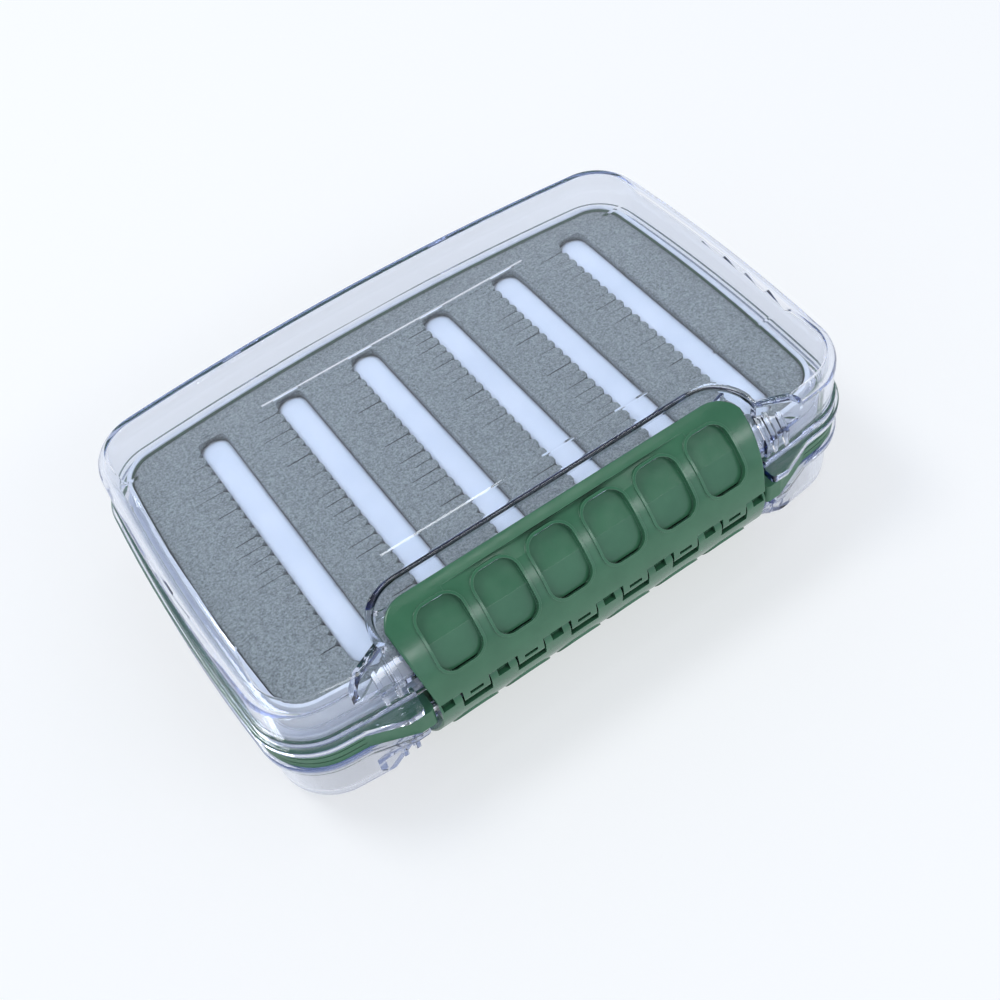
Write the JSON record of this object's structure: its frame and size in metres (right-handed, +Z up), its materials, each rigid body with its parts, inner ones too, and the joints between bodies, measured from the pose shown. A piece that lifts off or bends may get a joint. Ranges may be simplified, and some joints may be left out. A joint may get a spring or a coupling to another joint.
{
  "type": "hook storage box",
  "caption": "Two-sided case for fishing hooks: a frame with slit foam on both faces, clear hinged lids above and below, and curved latches at the front.",
  "frame": {"origin": "under the middle of the closed box, on the face it rests on", "axes": "+X along the box's length, +Y from the latches to the lid hinge, +Z up"},
  "size_m": [0.156, 0.105, 0.043],
  "materials": {
    "green_plastic": "satin moulded",
    "clear_plastic": "clear, polished",
    "steel": "drawn wire",
    "seal_rubber": "matt",
    "grey_foam": "closed-cell foam, fine grain",
    "white_foam": "closed-cell foam, smooth",
    "adhesive_film": "double-sided film"
  },
  "bodies": {
    "frame": {"centre_frame": "green_plastic", "latch_pin": "steel", "hinge_pin": "steel", "upper_seal": "seal_rubber", "lower_seal": "seal_rubber", "upper_foam": "grey_foam", "lower_foam": "grey_foam", "upper_foam_base": "white_foam", "lower_foam_base": "white_foam", "upper_adhesive": "adhesive_film", "lower_adhesive": "adhesive_film"},
    "upper_lid": {"upper_lid": "clear_plastic"},
    "lower_lid": {"lower_lid": "clear_plastic"},
    "upper_latch": {"upper_latch": "green_plastic"},
    "lower_latch": {"lower_latch": "green_plastic"}
  },
  "joints": [
    {"name": "upper_lid_hinge", "type": "hinge", "parent": "frame", "child": "upper_lid", "pos_m": [0, 0.0504, 0.0215], "axis": [-1, 0, 0], "range_deg": [0, 90]},
    {"name": "lower_lid_hinge", "type": "hinge", "parent": "frame", "child": "lower_lid", "pos_m": [0, 0.0504, 0.0215], "axis": [1, 0, 0], "range_deg": [0, 90]},
    {"name": "upper_latch_hinge", "type": "hinge", "parent": "frame", "child": "upper_latch", "pos_m": [0, -0.05, 0.0215], "axis": [1, 0, 0], "range_deg": [0, 40]},
    {"name": "lower_latch_hinge", "type": "hinge", "parent": "frame", "child": "lower_latch", "pos_m": [0, -0.05, 0.0215], "axis": [-1, 0, 0], "range_deg": [0, 40]}
  ]
}
